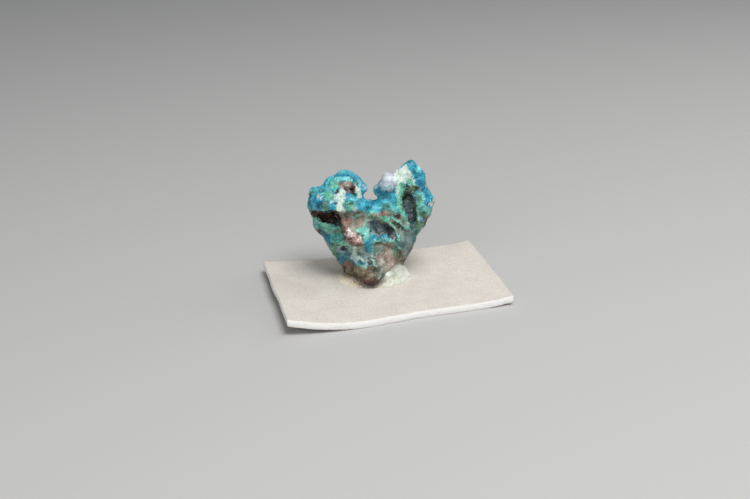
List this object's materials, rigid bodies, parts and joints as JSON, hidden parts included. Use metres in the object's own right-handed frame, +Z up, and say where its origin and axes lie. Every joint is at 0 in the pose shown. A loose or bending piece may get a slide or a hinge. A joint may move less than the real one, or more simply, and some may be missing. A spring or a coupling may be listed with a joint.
{
  "type": "mineral specimen",
  "caption": "Heart-shaped chrysocolla specimen standing upright in a bead of clear glue on a curled, hand-cut piece of white foam sheet.",
  "frame": {"origin": "middle of the footprint's bounding box, on the surface that the foam card rests on", "axes": "+Z up, +X the longest extent with the stone's display face towards -Y, +Y towards the stone's back"},
  "size_m": [0.0544, 0.0468, 0.0283],
  "materials": {
    "stone": "rough",
    "glue_bead": "smooth",
    "foam_card": "matt"
  },
  "bodies": {
    "root": {"stone": "stone", "glue_bead": "glue_bead", "foam_card": "foam_card"}
  },
  "joints": []
}
